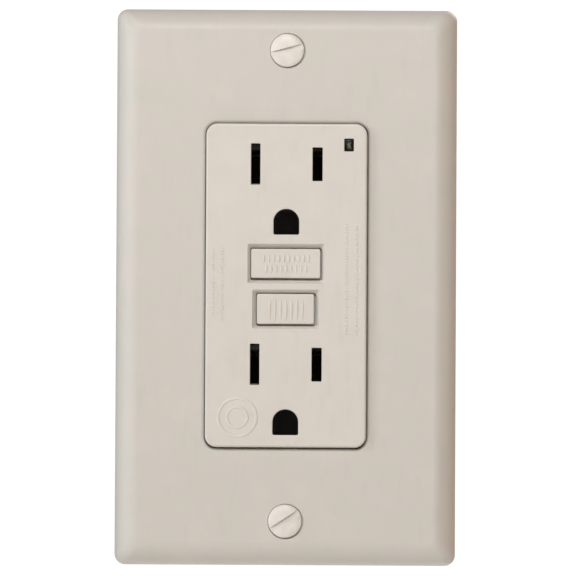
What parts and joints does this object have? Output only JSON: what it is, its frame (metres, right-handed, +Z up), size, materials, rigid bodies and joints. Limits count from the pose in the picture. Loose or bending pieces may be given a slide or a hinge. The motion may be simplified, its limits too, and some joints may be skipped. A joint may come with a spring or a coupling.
{
  "type": "gfci outlet",
  "caption": "Ground-fault receptacle with decorator wall plate, grounded sockets, reset and test buttons, status light, working trip latch and clamp terminals.",
  "frame": {"origin": "middle of the device on the wall plane, where the strap's ears and the plate's rim meet the wall", "axes": "-Y points into the room, out of the face; +Y into the wall box; +Z up; +X towards the hot (narrow slot) side"},
  "size_m": [0.0698, 0.0344, 0.1142],
  "materials": {
    "almond_plastic": "moulded thermoplastic, satin",
    "painted_screw": "steel painted to match the plate",
    "clear_plastic": "clear light pipe, grey-green when unlit",
    "dark_plastic": "moulded, dark grey",
    "carrier_plastic": "moulded, unpainted",
    "zinc_steel": "zinc-plated steel",
    "fibre": "vulcanised fibre",
    "green_zinc": "green-dyed plated steel",
    "brass": "stamped brass",
    "nickel": "nickel or silver plated",
    "copper_wire": "enamelled copper wire",
    "green_enamel": "green enamelled copper wire",
    "board_green": "glass-epoxy board",
    "varistor_blue": "dipped epoxy",
    "capacitor_red": "potted film capacitor",
    "epoxy_black": "moulded epoxy",
    "resistor_tan": "coated resistor",
    "led_white": "surface-mount lamp"
  },
  "bodies": {
    "device": {"case_screw_1": "zinc_steel", "case_screw_2": "zinc_steel", "case_screw_3": "zinc_steel", "case_screw_4": "zinc_steel", "circuit_board": "board_green", "coil_housing": "dark_plastic", "control_chip": "epoxy_black", "face_cover": "almond_plastic", "filter_capacitor": "capacitor_red", "ground_clip_lower": "brass", "ground_clip_upper": "brass", "hot_contact_strip": "brass", "hot_fixed_contact": "nickel", "inner_frame": "carrier_plastic", "line_hot_terminal": "brass", "line_neutral_terminal": "brass", "mounting_screw_bottom": "zinc_steel", "mounting_screw_top": "zinc_steel", "mounting_strap": "zinc_steel", "neutral_coil": "green_enamel", "neutral_contact_strip": "brass", "neutral_fixed_contact": "nickel", "plate_screw_bottom": "painted_screw", "plate_screw_top": "painted_screw", "plunger_spring": "zinc_steel", "rear_housing": "dark_plastic", "reset_spring": "zinc_steel", "retainer_washer_bottom": "fibre", "retainer_washer_top": "fibre", "scr": "epoxy_black", "sense_coil": "copper_wire", "solenoid_bobbin": "dark_plastic", "solenoid_winding": "copper_wire", "solenoid_yoke": "zinc_steel", "status_led": "led_white", "status_light_pipe": "clear_plastic", "test_resistor": "resistor_tan", "varistor": "varistor_blue", "wall_plate": "almond_plastic"},
    "reset": {"reset_button": "almond_plastic", "reset_shaft": "zinc_steel"},
    "test": {"test_button": "almond_plastic"},
    "leaf": {"test_leaf": "brass"},
    "lifter": {"lifter": "carrier_plastic"},
    "latch": {"latch_plate": "zinc_steel"},
    "plunger": {"plunger": "zinc_steel"},
    "hot_arm": {"hot_arm": "brass", "hot_moving_contact": "nickel"},
    "neutral_arm": {"neutral_arm": "brass", "neutral_moving_contact": "nickel"},
    "ground_screw": {"ground_screw": "green_zinc"},
    "load_hot_screw": {"terminal_screw_load_hot": "brass"},
    "load_hot_clamp": {"clamp_plate_load_hot": "zinc_steel"},
    "load_neutral_screw": {"terminal_screw_load_neutral": "nickel"},
    "load_neutral_clamp": {"clamp_plate_load_neutral": "zinc_steel"},
    "line_hot_screw": {"terminal_screw_line_hot": "brass"},
    "line_hot_clamp": {"clamp_plate_line_hot": "zinc_steel"},
    "line_neutral_screw": {"terminal_screw_line_neutral": "nickel"},
    "line_neutral_clamp": {"clamp_plate_line_neutral": "zinc_steel"}
  },
  "joints": [
    {"name": "reset_press", "type": "slide", "parent": "device", "child": "reset", "axis": [0, 1, 0], "range_m": [0, 0.0022], "stiffness_N_per_m": 900, "springref_m": -0.0008, "deforming": ["reset_spring"]},
    {"name": "test_press", "type": "slide", "parent": "device", "child": "test", "axis": [0, 1, 0], "range_m": [0, 0.0018], "stiffness_N_per_m": 600, "springref_m": -0.0008},
    {"name": "test_leaf_bend", "type": "hinge", "parent": "device", "child": "leaf", "pos_m": [-0.009, 0.00275, -0.00495], "axis": [0, 0, 1], "range_deg": [0, 12.5]},
    {"name": "trip", "type": "slide", "parent": "device", "child": "lifter", "axis": [0, 1, 0], "range_m": [0, 0.0015], "stiffness_N_per_m": 400, "springref_m": -0.0008, "deforming": ["plunger_spring"]},
    {"name": "latch_slide", "type": "slide", "parent": "lifter", "child": "latch", "axis": [0, 0, -1], "range_m": [0, 0.002]},
    {"name": "plunger_stroke", "type": "slide", "parent": "device", "child": "plunger", "axis": [0, 0, -1], "range_m": [0, 0.0022]},
    {"name": "hot_arm_open", "type": "hinge", "parent": "device", "child": "hot_arm", "pos_m": [0.0126, 0.01925, -0.0127], "axis": [-1, 0, 0], "range_deg": [0, 4.6]},
    {"name": "neutral_arm_open", "type": "hinge", "parent": "device", "child": "neutral_arm", "pos_m": [-0.0126, 0.01925, -0.0127], "axis": [-1, 0, 0], "range_deg": [0, 4.6]},
    {"name": "load_hot_screw_turn", "type": "hinge", "parent": "device", "child": "load_hot_screw", "pos_m": [0.0181, 0.0113, 0.0195], "axis": [1, 0, 0], "range_deg": [0, 1080]},
    {"name": "load_hot_clamp_slide", "type": "slide", "parent": "device", "child": "load_hot_clamp", "axis": [-1, 0, 0], "range_m": [0, 0.00238]},
    {"name": "load_neutral_screw_turn", "type": "hinge", "parent": "device", "child": "load_neutral_screw", "pos_m": [-0.0181, 0.0113, 0.0195], "axis": [-1, 0, 0], "range_deg": [0, 1080]},
    {"name": "load_neutral_clamp_slide", "type": "slide", "parent": "device", "child": "load_neutral_clamp", "axis": [1, 0, 0], "range_m": [0, 0.00238]},
    {"name": "line_hot_screw_turn", "type": "hinge", "parent": "device", "child": "line_hot_screw", "pos_m": [0.0181, 0.0113, -0.0195], "axis": [1, 0, 0], "range_deg": [0, 1080]},
    {"name": "line_hot_clamp_slide", "type": "slide", "parent": "device", "child": "line_hot_clamp", "axis": [-1, 0, 0], "range_m": [0, 0.00238]},
    {"name": "line_neutral_screw_turn", "type": "hinge", "parent": "device", "child": "line_neutral_screw", "pos_m": [-0.0181, 0.0113, -0.0195], "axis": [-1, 0, 0], "range_deg": [0, 1080]},
    {"name": "line_neutral_clamp_slide", "type": "slide", "parent": "device", "child": "line_neutral_clamp", "axis": [1, 0, 0], "range_m": [0, 0.00238]},
    {"name": "ground_screw_turn", "type": "hinge", "parent": "device", "child": "ground_screw", "pos_m": [-0.0177, 0.0062, -0.0411], "axis": [-1, 0, 0], "range_deg": [0, 1080]}
  ],
  "couplings": [
    {"joint": "test_leaf_bend", "follows": "test_press", "rad_per_m": 120.2},
    {"joint": "latch_slide", "follows": "trip", "ratio": 1.3333},
    {"joint": "plunger_stroke", "follows": "trip", "ratio": 1.4666},
    {"joint": "hot_arm_open", "follows": "trip", "rad_per_m": 53.5},
    {"joint": "neutral_arm_open", "follows": "trip", "rad_per_m": 53.5},
    {"joint": "load_hot_screw_turn", "follows": "load_hot_clamp_slide", "rad_per_m": 7915.8},
    {"joint": "load_neutral_screw_turn", "follows": "load_neutral_clamp_slide", "rad_per_m": 7915.8},
    {"joint": "line_hot_screw_turn", "follows": "line_hot_clamp_slide", "rad_per_m": 7915.8},
    {"joint": "line_neutral_screw_turn", "follows": "line_neutral_clamp_slide", "rad_per_m": 7915.8}
  ]
}
